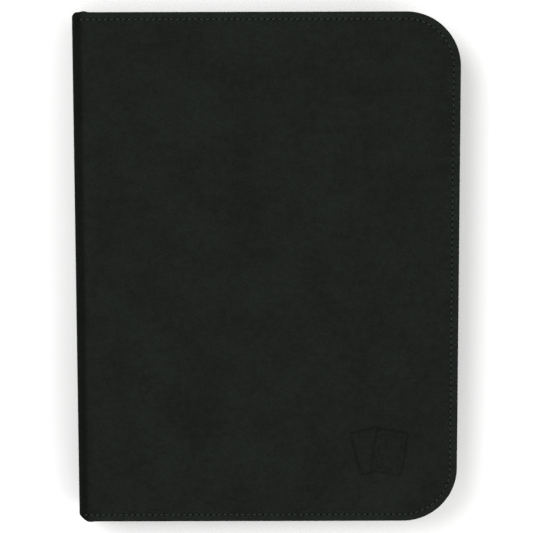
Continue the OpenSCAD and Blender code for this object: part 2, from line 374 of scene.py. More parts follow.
def joined(parts):
    """Several meshes as one. Each part is its points, faces and UVs."""
    points, faces, uvs = zip(*parts)
    starts = np.cumsum([0, *map(len, points)])
    moved = [[i + start for i in face] for some, start in zip(faces, starts) for face in some]
    return np.concatenate(points), moved, np.concatenate(uvs)


def spaced(low, high, step):
    return np.linspace(low, high, max(2, int(round(abs(high - low) / step)) + 1))


def full_turn(count):
    return np.linspace(0, math.tau, count, endpoint=False)


def smooth_step(x):
    x = np.clip(x, 0, 1)
    return x * x * (3 - 2 * x)


def bell(x, width):
    """A smooth bump, 1 where x is 0."""
    return np.exp(-((x / width) ** 2))


def squared(v, power):
    """A sine or cosine made squarer."""
    return np.sign(v) * np.abs(v) ** power


def run_along(points):
    """Length along a line, at each of its points."""
    return np.concatenate([[0], np.cumsum(np.hypot(*np.diff(points, axis=0).T))])


def soft_noise(x, y, size, seed):
    """Smooth wandering between about -1 and 1, from a few waves at scattered angles. seed picks the waves."""
    waves = np.random.default_rng(seed)
    total = np.zeros_like(x)
    for _ in range(9):
        angle, phase = waves.uniform(0, math.tau, 2)
        k = math.tau / (size * waves.uniform(0.7, 1.6))
        total = total + np.sin(k * (x * math.cos(angle) + y * math.sin(angle)) + phase)
    return total / 4


def wrap(s, y, n):
    """The unrolled sheet's points, wrapped round the front half of the spine and over the front cover."""
    angle = np.clip((s - S_SPINE) / EDGE_R, 0, math.pi / 2)
    normal_x, normal_z = -np.cos(angle), np.sin(angle)
    x = X_SPINE + EDGE_R + EDGE_R * normal_x + np.maximum(s - S_COVER, 0)
    z = THICK - EDGE_R + EDGE_R * normal_z + np.minimum(s - S_SPINE, 0)
    return np.stack([x + n * normal_x, y, z + n * normal_z], -1)


def mirrored(points, faces, to_other):
    """A mesh as it is, or taken to the other cover."""
    if not to_other:
        return points, faces
    out = np.array(points, float)
    out[..., 2] = THICK - out[..., 2]
    return out, [face[::-1] for face in faces]


def corner_mapped(s, y, s_max, y_max, r):
    """Grid points of a rectangle, moved so that its two right-hand corners are rounded to a radius r."""
    u = np.clip((s - (s_max - r)) / r, 0, 1)
    v = np.clip((np.abs(y) - (y_max - r)) / r, 0, 1)
    both = (u > 0) & (v > 0)
    s_new = np.where(both, s_max - r + r * u * np.sqrt(1 - v * v / 2), s)
    y_new = np.where(both, np.sign(y) * (y_max - r + r * v * np.sqrt(1 - u * u / 2)), y)
    return s_new, y_new


def two_layers(near, far, shape):
    """A thin closed sheet: two grids of points with the same shape, joined round their edge."""
    rows, cols = shape
    size = rows * cols
    index = np.arange(size).reshape(rows, cols)
    here = np.concatenate([index[0, :-1], index[:-1, -1], index[-1, :0:-1], index[:0:-1, 0]])
    after = np.roll(here, -1)
    edge = np.stack([after, after + size, here + size, here], -1)
    faces = np.concatenate([grid_faces(rows, cols), grid_faces(rows, cols, size, flip=True), edge])
    return np.concatenate([near, far]), faces


# -------- cover skins


def rounded_box(s, y, cx, cy, degrees, w, h, r):
    """Signed distance to a rounded rectangle, negative inside."""
    c, d = math.cos(math.radians(degrees)), math.sin(math.radians(degrees))
    u, v = (s - cx) * c + (y - cy) * d, -(s - cx) * d + (y - cy) * c
    qx, qy = np.abs(u) - w / 2 + r, np.abs(v) - h / 2 + r
    return np.hypot(np.maximum(qx, 0), np.maximum(qy, 0)) + np.minimum(np.maximum(qx, qy), 0) - r


def edge_distance(s, y):
    """Distance inside the skin's head, fore and tail edges."""
    return -rounded_box(s, y, 0, 0, 0, 2 * S_FORE, HEIGHT, CORNER_R)


def path_along(s, y):
    """Length along the edge, from the tail's spine end, of the edge point nearest to each point."""
    straight_s, straight_y = S_FORE - CORNER_R, Y_HEAD - CORNER_R
    arc = CORNER_R * math.pi / 2
    turn = np.arctan2(np.abs(y) - straight_y, s - straight_s)
    in_corner = (s > straight_s) & (np.abs(y) > straight_y)
    on_side = (s > straight_s) & ~in_corner
    tail = np.where(in_corner, straight_s + CORNER_R * (math.pi / 2 - turn), s)
    tail = np.where(on_side, straight_s + arc + straight_y + y, tail)
    total = 2 * straight_s + 2 * arc + 2 * straight_y
    return np.where((y > 0) & ~on_side, total - tail, tail)


def pressed_mark(s, y):
    """Depth of the generic blind-pressed mark: two plain overlapping card outlines."""

    def line(distance, half, soft):
        return 1 - smooth_step((np.abs(distance) - half) / soft)

    near = rounded_box(s, y, MARK_S + 6, MARK_Y, -9, 22, 31, 2.4)
    inner = rounded_box(s, y, MARK_S + 6, MARK_Y, -9, 15, 24, 1.2)
    far = rounded_box(s, y, MARK_S - 7, MARK_Y + 1, 14, 22, 31, 2.4)
    line_near = line(near, 0.55, 0.5)
    line_far = line(far, 0.55, 0.5) * smooth_step((near - 1.2) / 0.5)
    return np.maximum(np.maximum(line_near, line_far), 0.7 * line(inner, 0.25, 0.35))


def skin_height(s, y, seed, mark):
    """How far the padded skin stands out from its flat face, at each point of the unrolled sheet."""
    d = edge_distance(s, y)
    along = path_along(s, y)
    # the sewn channel, drawn deepest at each needle hole
    stitched = smooth_step((s - S_COVER + 1) / 3)
    pucker = 0.5 + 0.5 * np.cos(math.tau * along / STITCH_PITCH)
    pucker = np.where(STITCH_IN * 0.5 < d, pucker, 0.5)
    channel = bell(d - STITCH_IN, 0.85) * (0.20 + 0.16 * pucker) * stitched
    dimple = bell(d - STITCH_IN, 2.4) * 0.10 * stitched
    groove = 0.34 * bell(s - S_GROOVE, 1.7)
    # padding: a slow swell, small hand waves, and a little pull at the edge
    swell = 0.10 * soft_noise(s, y, 85, seed) + 0.035 * soft_noise(s, y, 24, seed + 1)
    swell = swell * smooth_step((s - S_GROOVE) / 6)
    ripple = 0.05 * soft_noise(along, d * 2.5, 14, seed + 2) * bell(d - 7, 5)
    creases = 0.05 * soft_noise(s * 0.25, y, 11, seed + 3) * bell(s - S_GROOVE, 5)
    h = -0.32 + swell + ripple + creases - channel - dimple - groove
    if mark:
        h = h - 0.42 * pressed_mark(s, y) * smooth_step(1.35 - np.abs(soft_noise(s, y, 30, 5)))
    return np.minimum(h, -0.02)


def painted_shade_and_pile_tone(s, y, mark):
    """How much lighter, or darker if below 0, the skin is coloured at each point of the unrolled sheet:
    painted shade on the spine's rolled edge and in the pressed mark, paler just outside the stitching, and a
    slow random wander.
    """
    edge = 0.2 * smooth_step((STITCH_IN - 0.4 - edge_distance(s, y)) / 0.8)
    edge = edge * smooth_step((s - S_COVER) / 6)
    # painted shade: the soft edge round the spine, where the skin turns away from the light, is darkened
    roll = 0.52 * smooth_step((s - S_SPINE) / 3) * smooth_step((S_COVER + 4.2 - s) / 3.5)
    wander = 0.06 * soft_noise(s, y, 60, 101) * smooth_step((s - S_COVER - 4) / 8)
    # painted shade: the pressed mark's lines are darkened so that they read as recessed
    pressed = 0.22 * pressed_mark(s, y) if mark else 0
    return edge - roll + wander - pressed


def skin_mesh(name, step, seed, mark, back, fine=0.42):
    """One half of the wrap: half the spine, its soft edge, the cover and the edge turned in all round."""
    s_in, y_in, r_in = S_FORE - RIM, Y_HEAD - RIM, CORNER_R - RIM
    flat_from = S_COVER + 8
    s_lines = [spaced(0, S_SPINE - 1, 1.2), spaced(S_SPINE - 1, flat_from, 0.5)]
    if mark:
        s0, s1, y0, y1 = MARK_S - 25, MARK_S + 24, MARK_Y - 21, MARK_Y + 21
        s_lines += [spaced(flat_from, s0, step), spaced(s0, s1, fine), spaced(s1, s_in, step)]
        y_lines = [spaced(-y_in, y0, step), spaced(y0, y1, fine), spaced(y1, y_in, step)]
    else:
        s_lines += [spaced(flat_from, s_in, step)]
        y_lines = [spaced(-y_in, y_in, step)]
    s_line, y_line = (np.unique(np.round(np.concatenate(lines), 4)) for lines in (s_lines, y_lines))
    ss, yy = corner_mapped(*np.meshgrid(s_line, y_line), s_in, y_in, r_in)
    rows, cols = ss.shape
    index = np.arange(rows * cols).reshape(rows, cols)

    # the edge of the grid in order, tail first, and the way outward at each of its points
    loop = np.concatenate([index[0, :], index[1:, -1], index[-1, -2::-1]])
    ls, ly = ss.ravel()[loop], yy.ravel()[loop]
    cs, cy = s_in - r_in, y_in - r_in
    in_corner = (ls > cs + 1e-4) & (np.abs(ly) > cy + 1e-4)
    at = np.arange(len(loop))
    side = ~in_corner & (at >= cols - 1) & (at <= cols + rows - 2) & (np.abs(ly) <= cy + 1e-4)
    out_s = np.where(side, 1.0, np.where(in_corner, (ls - cs) / r_in, 0.0))
    out_y = np.where(in_corner, (ly - np.sign(ly) * cy) / r_in, np.where(side, 0.0, np.sign(ly)))

    def face_height(inset):
        return skin_height(ls + out_s * (RIM - inset), ly + out_y * (RIM - inset), seed, False)

    # rings outward over the face, round the folded edge, and back in under it, each with its distance inside
    # the edge, its height and how much further out its UVs lie
    channel = STITCH_IN + 1.6, STITCH_IN - 1.6
    face = [*spaced(RIM, channel[0], 0.7)[1:], *spaced(*channel, 0.32)[1:],
            *spaced(channel[1], FOLD_R, 0.5)[1:]]
    depth = SKIN_T + (SPINE_SKIN_T - SKIN_T) * (1 - smooth_step((ls - S_SPINE) / (S_COVER - S_SPINE)))
    brow = face_height(FOLD_R)
    rings = [(d, face_height(d), 0) for d in face]
    for a in np.linspace(0, math.pi / 2, 7)[1:]:
        rings.append((FOLD_R * (1 - math.sin(a)), brow - FOLD_R * (1 - math.cos(a)), 0))
    rings.append((0.0, (brow - FOLD_R - depth + UNDER_R) / 2, 1.24))
    for a in np.linspace(0, math.pi / 2, 4):
        rings.append((UNDER_R * (1 - math.cos(a)), UNDER_R * (1 - math.sin(a)) - depth, 2))
    rings += [(d, -depth, 4) for d in (2.2, 4.5, 6.9)]

    # the ends of the spine's soft edge are folded in, which rounds the corner off, more at the tail
    across = wrap(ls, ly, 0 * ls)[:, 0] - X_SPINE
    tail = ly < 0
    nip = np.clip(1 - across / np.where(tail, 6.6, 3.2), 0, 1) ** np.where(tail, 1.1, 2.0)
    nip = nip * np.where(tail, 4.2, 1.9) * bell(np.maximum(S_SPINE - ls, 0), 7)
    puff = np.where(tail, 0.5, 1.0) * 0.75 * bell(across - 8.6, 2.2)
    nip = np.where(np.abs(ly) > cy, nip - puff, 0)

    all_s = np.concatenate([ss.ravel(), *[ls + out_s * (RIM - d) for d, _, _ in rings]])
    ring_y = [ly + out_y * (RIM - d) - out_y * nip * smooth_step(1 - d / RIM) for d, _, _ in rings]
    all_y = np.concatenate([yy.ravel(), *ring_y])
    all_n = np.concatenate([skin_height(ss.ravel(), yy.ravel(), seed, mark), *[h for _, h, _ in rings]])
    uv_shift = np.concatenate([np.zeros(ss.size), np.repeat([shift for _, _, shift in rings], len(loop))])
    faces, before = [grid_faces(rows, cols)], loop
    for i in range(len(rings)):
        now = rows * cols + i * len(loop) + np.arange(len(loop))
        faces.append(np.stack([before[:-1], now[:-1], now[1:], before[1:]], -1))
        before = now
    points, faces = mirrored(wrap(all_s, all_y, all_n), np.concatenate(faces), back)
    uvs = rows_of(all_s + (1000 if back else 500), all_y + uv_shift * np.sign(all_y))
    skin = mesh_object(name, points, faces, uvs, SUEDE)
    # the skin's painted shade and tone, which the leatherette material multiplies its colour by
    pile_tone_and_painted_shade = skin.data.attributes.new("pile_tone_and_painted_shade", "FLOAT", "POINT")
    pile_tone_and_painted_shade.data.foreach_set("value", painted_shade_and_pile_tone(all_s, all_y, mark).astype(np.float32))
    return skin


def bend_at_crease(thing, side, spine_end, cover_end):
    """Bake a piece's transform into its mesh; it is not blended between spine and cover. The two ends are
    points (x, z), given for the back cover.
    """
    if side == "front":
        spine_end, cover_end = ((x, THICK - z) for x, z in (spine_end, cover_end))
    on_spine, on_cover = ((x * MM, 0, z * MM) for x, z in (spine_end, cover_end))
    if side == "front":
        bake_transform(thing)
        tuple(on_spine)
        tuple(on_cover)
    else:
        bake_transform(thing)
        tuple(on_cover)
        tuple(on_spine)


def finish_cover(side, skin):
    bend_at_crease(skin, side, (X_SPINE, 5.5), (X_SPINE + 8, 0.0))
    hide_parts(f"{side}_skin", f"{side}_padding")


front_skin = skin_mesh("front_cover_skin", 1.1, FRONT_SEED, True, False)
back_skin = skin_mesh("back_cover_skin", 1.6, BACK_SEED, False, True)
finish_cover("front", front_skin)
finish_cover("back", back_skin)
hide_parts("spine_skin", "spine_padding")


# -------- stitching


def edge_path(inset, x_start, step):
    """A U-shaped line at an inset from the cover's edge, tail end first: points, outward ways and lengths."""
    r, x_max, y_max = CORNER_R - inset, X_FORE - inset, Y_HEAD - inset
    arc, run, side = r * math.pi / 2, x_max - r - x_start, 2 * (y_max - r)
    at = spaced(0, 2 * run + 2 * arc + side, step)
    turned = np.clip((at - run) / r, 0, math.pi / 2) + np.clip((at - run - arc - side) / r, 0, math.pi / 2)
    angle = turned - math.pi / 2
    centre_x = x_max - r + np.minimum(at - run, 0) - np.maximum(at - run - 2 * arc - side, 0)
    centre_y = np.clip(at - run - arc, 0, side) - (y_max - r)
    out = np.stack([np.cos(angle), np.sin(angle)], -1)
    return np.stack([centre_x, centre_y], -1) + r * out, out, at


def stitches(side, seed, around=8, along=9, hole_around=10):
    """Separate stitches, each a bowed strand that dives into the skin at both ends, where a dark disc of
    painted shade lies on the skin.
    """
    random = np.random.default_rng(seed)
    path, out, _ = edge_path(STITCH_IN, X_SPINE + STITCH_START, STITCH_PITCH / 2)
    s, y, ds, dy = path[:, 0] - X_SPINE - EDGE_R + S_COVER, path[:, 1], -out[:, 1], out[:, 0]
    strands, holes = [], []
    a, t = full_turn(around), np.linspace(-1, 1, along)
    for i in range(1, len(s) - 1, 2):
        half = 1.45 * random.uniform(0.95, 1.05)
        turn = math.radians(random.normal(6, 3))
        c, d = math.cos(turn), math.sin(turn)
        ts, ty = ds[i] * c - dy[i] * d, ds[i] * d + dy[i] * c
        centre = skin_height(np.array([s[i]]), np.array([y[i]]), seed, False)[0]
        lift = centre + 0.16 + 0.14 * (1 - t**2) - 0.45 * np.abs(t) ** 6
        radius = 0.36 * (1 - 0.25 * t**4) * random.uniform(0.94, 1.06)
        run, aside = t[:, None] * half, np.cos(a) * radius[:, None]
        height = lift[:, None] + np.sin(a) * radius[:, None] * 0.75
        points = wrap(s[i] + ts * run - ty * aside, y[i] + ty * run + ts * aside, height).reshape(-1, 3)
        strands.append((points, grid_faces(along, around, close=True), rows_of(run, a * 0.27)))
    # each hole the needle made is a dark disc of painted shade, lying just over the skin
    a = full_turn(hole_around)
    for i in range(0, len(s), 2):
        rings = []
        for radius, rise in ((0.8, 0.0), (0.6, 0.07), (0.1, 0.05)):
            hs = s[i] + radius * (np.cos(a) * ds[i] * 1.1 - np.sin(a) * dy[i] * 0.75)
            hy = y[i] + radius * (np.cos(a) * dy[i] * 1.1 + np.sin(a) * ds[i] * 0.75)
            rings.append(wrap(hs, hy, skin_height(hs, hy, seed, False) + rise))
        points = np.concatenate(rings)
        holes.append((points, grid_faces(len(rings), hole_around, close=True), points[:, :2]))
    points, faces, uvs = joined(strands)
    line = mesh_object(f"{side}_stitches", *mirrored(points, faces, side == "back"), uvs, THREAD)
    points, faces, uvs = joined(holes)
    pits = mesh_object(f"{side}_needle_hole_shades", *mirrored(points, faces, side == "back"), uvs, HOLE_SHADE)
    settle(line, f"{side}_cover", "thread", f"{side}_stitching")
    settle(pits, f"{side}_cover", "cover_skin")


stitches("front", FRONT_SEED)
stitches("back", BACK_SEED)


# -------- zip halves


def band(side, name, profile, x_start, step, material, wave=None, stands_for=()):
    """A closed band swept along the edge. profile is its section, in points (inset from the edge, height)."""
    profile = np.asarray(profile, float)
    path, out, at = edge_path(ZIP_IN, x_start, step)
    n, m = len(path), len(profile)
    shift = (ZIP_IN - profile[:, 0])[None, :]
    if wave is not None:
        shift = shift + wave(at[:, None], profile[None, :, 1])
    xy = path[:, None, :] + out[:, None, :] * shift[..., None]
    points = rows_of(xy[..., 0], xy[..., 1], profile[:, 1])
    uvs = rows_of(at[:, None], run_along(profile)[None, :])
    thing = mesh_object(f"{side}_{name}", *mirrored(points, capped(n, m), side == "front"), uvs, material)
    settle(thing, f"{side}_cover", "zip_tape", *stands_for)
    return thing


def thick_line(points, thickness):
    """The closed outline of a strip of cloth that follows the points, with soft ends."""
    p = np.asarray(points, float)
    d = np.gradient(p, axis=0)
    normal = np.stack([-d[:, 1], d[:, 0]], -1) / np.hypot(d[:, 0], d[:, 1])[:, None]
    half = np.full(len(p), thickness / 2)
    half[0] = half[-1] = thickness / 4
    return np.concatenate([p + normal * half[:, None], (p - normal * half[:, None])[::-1]])


def oval(inset, z, half_w, half_h, count=8):
    """The outline of a cord."""
    turn = full_turn(count)
    return [(inset + half_w * math.cos(t), z + half_h * math.sin(t)) for t in turn]


def tape_wave(at, height):
    """The tape's slack: it bellies in and out a little between the cover and the coil."""
    rise = np.clip((height - FLANGE_TOP) / (WEB_TOP - FLANGE_TOP), 0, 1)
    return np.sin(math.pi * rise) ** 2 * (0.35 + 0.22 * soft_noise(at, 0 * at, 46, 41))


def zip_tape(side):
    """Woven tape: a sewn flange, a soft bend, and a web up to the coil with its woven ribs."""
    flange = [(i, 3.42) for i in (1.7, 3.0, 4.2)]
    turn = np.linspace(0, math.pi / 2, 6)
    bend = [(4.7 + 0.9 * math.sin(a), 4.32 - 0.9 * math.cos(a)) for a in turn]
    web = [(ZIP_IN, z) for z in spaced(5.2, WEB_TOP + 1.4, 0.8)]
    line = thick_line([*flange, *bend, *web], TAPE_T)
    tape = band(side, "tape", line, TAPE_START, 1.5, TAPE, tape_wave, [f"{side}_zip_tape"])
    under = thick_line([(i, 3.05) for i in (1.65, 3, 5, 6.9)], 0.42)
    band(side, "tape_flange", under, X_SPINE + 5.2, 2, TAPE)
    length = edge_path(ZIP_IN, TAPE_START, 5)[2][-1]
    for i, (down, r) in enumerate(((2.3, 0.34), (3.2, 0.26))):
        cord = oval(ZIP_IN - 0.32, WEB_TOP - down, r * 0.8, r)
        band(side, f"tape_rib_{i + 1}", cord, TAPE_START + 0.2, 2, TAPE, tape_wave)


def zip_coil(side, shift, wire=0.275, around=6, turns=13):
    """The coil: a row of bent nylon loops, each headed where it meets the other row."""
    # one loop of the wire: outward, along the row, and height above its middle
    t = np.linspace(0, 1, turns)
    across, along = 1.02 * np.cos(math.pi * t), 0.18 * np.cos(math.pi * t)
    rise = -0.72 + 2.67 * np.sin(math.pi * t) ** 0.55
    swell = wire * (1 + 0.12 * bell(t - 0.5, 0.16))
    a = full_turn(around)
    path, out, at = edge_path(ZIP_IN, COIL_START, 0.25)
    ahead = np.stack([-out[:, 1], out[:, 0]], -1)
    loops = []
    for k in range(int((at[-1] - 1) / TEETH_PITCH)):
        start = (k + shift) * TEETH_PITCH + 0.4
        i = min(int(start / (at[1] - at[0])), len(at) - 1)
        # beside the parked slider's wedge, the two rows don't meet
        beside_wedge = path[i, 1] < 0 and path[i, 0] < X_SPINE + 24.2
        line = np.stack([across, along, np.minimum(rise, 0.75) if beside_wedge else rise], -1)
        tangent = np.gradient(line, axis=0)
        tangent /= np.linalg.norm(tangent, axis=1)[:, None]
        side_way = np.cross(tangent, [0, 1, 0])
        side_way /= np.linalg.norm(side_way, axis=1)[:, None]
        up_way = np.cross(side_way, tangent)
        section = np.cos(a)[:, None] * side_way[:, None, :] + np.sin(a)[:, None] * up_way[:, None, :]
        ring = (line[:, None, :] + swell[:, None, None] * section).reshape(-1, 3)
        xy = path[i] + ring[:, :1] * out[i] + ring[:, 1:2] * ahead[i]
        uvs = rows_of(np.linspace(0, 6, turns)[:, None], a * wire + start)
        points = np.column_stack([xy, WEB_TOP + 0.95 + ring[:, 2]])
        loops.append((points, grid_faces(turns, around, close=True), uvs))
    points, faces, uvs = joined(loops)
    coil = mesh_object(f"{side}_coil", *mirrored(points, faces, side == "front"), uvs, NYLON)
    settle(coil, f"{side}_cover", "zip_coil", f"{side}_zip_coil")
    core = oval(ZIP_IN, WEB_TOP + 0.9, 0.5, 0.55)
    band(side, "coil_core", core, COIL_START, 2, TAPE)
    for name, lift in (("in", -1.22), ("out", 1.22)):
        seam = oval(ZIP_IN + lift, WEB_TOP + 0.55, 0.14, 0.2, 6)
        band(side, f"coil_seam_{name}", seam, COIL_START, 2, THREAD_DARK)
    clip(side, "tail", -1)
    clip(side, "head", 1, f"{side}_zip_stops")


def clip(side, end, sign, *stands_for, rows=9, cols=16):
    """A bent metal stop over an end of the coil: a rounded block, pinched along its middle."""
    t = np.linspace(-1, 1, rows)[:, None]
    a = full_turn(cols)
    full = (1 - t**6) ** 0.5 * (1 - 0.12 * bell(t, 0.35))
    y = sign * (Y_HEAD - ZIP_IN) + full * 1.15 * squared(np.cos(a), 0.6)
    z = WEB_TOP + 0.9 + full * 0.95 * squared(np.sin(a), 0.6)
    points = rows_of(COIL_START + (1.1 * t - 1.2), y, z)
    points, faces = mirrored(points, capped(rows, cols), side == "front")
    thing = mesh_object(f"{side}_stop_{end}", points, faces, points[:, :2], METAL)
    settle(thing, f"{side}_cover", "zip_metal", *stands_for)


for side, shift in (("back", 0.0), ("front", 0.5)):
    zip_tape(side)
    zip_coil(side, shift)


# -------- linings and end gussets


def lining(side):
    """Woven lining, glued down over the board and tucked in at its edge."""
    x_left, x_max, y_max, r = X_SPINE + 5.4, X_FORE - LINING_IN, Y_HEAD - LINING_IN, CORNER_R - LINING_IN
    rim = np.array([0.45, 0.2, 0.0])
    x_line = np.concatenate([spaced(x_left, x_max - 1.2, 3), x_max - rim])
    y_line = np.concatenate([rim - y_max, spaced(1.2 - y_max, y_max - 1.2, 3), y_max - rim])
    xx, yy = corner_mapped(*np.meshgrid(x_line, np.sort(y_line)), x_max, y_max, r)
    d = edge_distance(xx + S_COVER - X_SPINE - EDGE_R, yy) - LINING_IN
    tuck = 1.3 * smooth_step((0.5 - d) / 0.5) + 0.2 * bell(d, 1.3)
    tuck = tuck + 0.3 * bell(xx - x_left, 1.5)
    loose = 0.07 * soft_noise(xx, yy, 26, 51) + 0.05 * soft_noise(xx, yy, 9, 52)
    zz = PANEL_T + 0.02 - tuck + loose * smooth_step(d / 8)
    points, faces = mirrored(rows_of(xx, yy, zz), grid_faces(*xx.shape), side == "front")
    sheet = mesh_object(f"{side}_lining_cloth", points, faces, rows_of(xx, yy), LINING)
    settle(sheet, f"{side}_cover", "lining_cloth", f"{side}_lining")


def crease_lining(side):
    """The lining where it crosses a crease, tucked into the corner as when shut."""
    y_max = Y_HEAD - LINING_IN
    # the way down into the crease and out along the spine: (from the spine's face, from the cover's face)
    line = [(5.9, 4.62), (4.4, 4.0), (2.9, 2.8), (1.75, 1.75), (2.5, 3.1), (3.7, 4.5), (4.56, 6.4)]
    line = np.array(line)
    knots, fine = np.linspace(0, 1, len(line)), np.linspace(0, 1, 25)
    px, pz = np.interp(fine, knots, line[:, 0]), np.interp(fine, knots, line[:, 1])
    ys = spaced(-y_max, y_max, 3)[:, None]
    wave = 0.12 * soft_noise(ys, 0 * ys, 18, 61) * np.sin(math.pi * fine)
    length = run_along(np.stack([px, pz], -1))
    points = rows_of(X_SPINE + px + wave, ys, pz + wave)
    points, faces = mirrored(points, grid_faces(*wave.shape), side == "front")
    sheet = mesh_object(f"{side}_crease_lining", points, faces, rows_of(length, ys), LINING)
    bend_at_crease(sheet, side, (X_SPINE + PANEL_T, SPINE_LINING_IN), (X_SPINE + 5.6, PANEL_T))


def upright_sheet(name, node, xx, yy, zz, material, slot):
    """A cloth glued flat to the inside of the spine."""
    sheet = mesh_object(name, rows_of(xx, yy, zz), grid_faces(*xx.shape), rows_of(zz, yy), material)
    settle(sheet, "spine", slot, node)


def spine_lining():
    y_max, z_low, z_high = Y_HEAD - LINING_IN, SPINE_LINING_IN, THICK - SPINE_LINING_IN
    yy, zz = np.meshgrid(spaced(-y_max, y_max, 3), spaced(z_low, z_high, 1.5))
    xx = X_SPINE + PANEL_T + 0.02 + 0.05 * soft_noise(yy, zz, 14, 71)
    upright_sheet("spine_lining_cloth", "spine_lining", xx, yy, zz, LINING, "lining_cloth")


def binding_tape():
    """The cloth tape that holds the page strips, with a sewn line down each edge."""
    lo, hi = box("page_binding_tape")
    yy, zz = np.meshgrid(spaced(lo.y, hi.y, 2.5), spaced(lo.z, hi.z, 0.6))
    edge = np.minimum(zz - lo.z, hi.z - zz)
    proud = 0.32 * smooth_step(edge / 0.6) - 0.1 * bell(edge - 2.2, 0.5)
    xx = lo.x + proud + 0.04 * soft_noise(yy, zz, 8, 81)
    upright_sheet("page_binding", "page_binding_tape", xx, yy, zz, TAPE, "zip_tape")


def gusset(end, sign, over=0.6):
    """The cloth that closes the case between the spine and the zip, with a soft belly and a folded hem."""
    lo, hi = box(f"{end}_gusset")
    x_end, z_half = hi.x + over, hi.z + over / 2 - Z_MID
    xx, zz = np.meshgrid(spaced(lo.x, x_end, 0.35), spaced(-z_half, z_half, 0.8))
    xx, zz = corner_mapped(xx, zz, x_end, z_half, 3)
    u, v = np.clip((xx - lo.x) / (hi.x - lo.x), 0, 1), zz / (hi.z - Z_MID)
    mid = (lo.y + hi.y) / 2 + sign * (0.5 + 0.18 * np.sin(5 * v)) * np.sin(math.pi * u) * (1 - v * v)
    # turned over and sewn along the free edge
    half = 0.26 + 0.16 * smooth_step((xx - x_end + 3.4) / 0.5)
    half = (half - 0.12 * bell(xx - x_end + 2.2, 0.4))
    zz = zz + Z_MID
    points, faces = two_layers(rows_of(xx, mid - half, zz), rows_of(xx, mid + half, zz), xx.shape)
    cloth = mesh_object(f"{end}_gusset_cloth", points, faces, np.tile(rows_of(xx, zz), (2, 1)), TAPE)
    settle(cloth, "spine", "zip_tape", f"{end}_gusset")


for side in ("back", "front"):
    lining(side)
    crease_lining(side)
spine_lining()
binding_tape()
gusset("head", 1)
gusset("tail", -1)


# -------- pages


def pocket_x(column):
    """Fore side of a column of pockets."""
    return PAGE_X1 - POCKET_EDGE - POCKET_W * column


def pocket_lines(low, high):
    """Grid lines across a pocket, close together where the film rises beside its welds."""
    rise = np.array([0, 0.9, 1.9, 2.9, 4.0])
    return np.concatenate([low + rise, spaced(low + 6.5, high - 6.5, 4.5), high - rise[::-1]])


def pocket_films(seed=91):
    """Nine clear pockets on one face, z from 0: films welded round three sides, that bow off the page."""
    films = []
    random = np.random.default_rng(seed)
    for column in range(3):
        for row in range(3):
            x1, x0, y0 = pocket_x(column), pocket_x(column + 1) + 1, POCKET_Y0 + row * POCKET_H
            y1 = y0 + POCKET_H
            xx, yy = np.meshgrid(pocket_lines(x0, x1), pocket_lines(y0 + 0.2, y1 - 0.2))
            to_edge = np.minimum(np.minimum(x1 - xx, yy - y0), y1 - yy)
            full = smooth_step((to_edge - 0.8) / 3.5)
            # the open stack is tighter towards the spine, so the pockets there stand less proud
            room = 0.45 + 0.55 * (xx - pocket_x(3)) / (pocket_x(0) - pocket_x(3))
            bow = 0.26 + 0.06 * bell(xx - x0, 5)
            bow = bow + 0.04 * soft_noise(xx, yy, 22, int(random.integers(1e6)))
            zz = (0.03 + full * room * bow)
            uvs = rows_of(xx + 1000 * column, yy + 1000 * row)
            films.append((rows_of(xx, yy, zz), grid_faces(*xx.shape), uvs))
    return joined(films)


def page_seams(half_w=0.9):
    """The weld lines between pockets, as low ribs of pressed film on one face."""
    section = np.array([-1, -0.5, 0, 0.5, 1.0])
    xs, ys = [pocket_x(i) for i in range(4)], [POCKET_Y0 + i * POCKET_H for i in range(4)]
    lines = [((x, ys[0]), (x, ys[3])) for x in xs] + [((xs[3], y), (xs[0], y)) for y in ys]
    ribs = []
    for start, end in np.array(lines):
        way = end - start
        length = np.hypot(*way)
        n = int(round(length / 3)) - 1
        t = np.linspace(0, 1, n)[:, None]
        x = start[0] + t * way[0] - section * half_w * way[1] / length
        y = start[1] + t * way[1] + section * half_w * way[0] / length
        z = 0.02 + 0.12 * (1 - section**2) * (0.8 + 0.2 * np.cos(t * n * 2.0))
        ribs.append((rows_of(x, y, z), grid_faces(n, len(section)), rows_of(x, y)))
    return joined(ribs)


def two_faced(points, faces, uvs):
    """The same pieces on both faces of a page whose middle is z = 0."""
    top = points + (0, 0, PAGE_HALF_T)
    return joined([(top, faces, uvs), (top * (1, 1, -1), [face[::-1] for face in faces], uvs)])


def page_backing(x0, r=6, coarse=24, fine=0.75):
    """A page's backing, with a grid that is fine only in its two rounded corners."""
    y_max = PAGE_H / 2
    x_line = np.concatenate([spaced(x0, PAGE_X1 - r, coarse), spaced(PAGE_X1 - r, PAGE_X1, fine)[1:]])
    y_end = spaced(y_max - r, y_max, fine)[1:]
    y_line = np.concatenate([-y_end[::-1], spaced(r - y_max, y_max - r, coarse), y_end])
    xx, yy = corner_mapped(*np.meshgrid(x_line, y_line), PAGE_X1, y_max, r)
    points, faces = two_layers(rows_of(xx, yy, PAGE_HALF_T), rows_of(xx, yy, -PAGE_HALF_T), xx.shape)
    return points, faces, points[:, :2]


def shared_mesh(name, points, faces, uvs, material, smooth=True):
    """A mesh that several objects use."""
    made = mesh_object(name, points, faces, uvs, material, smooth)
    mesh = made.data
    bpy.data.objects.remove(made)
    return mesh


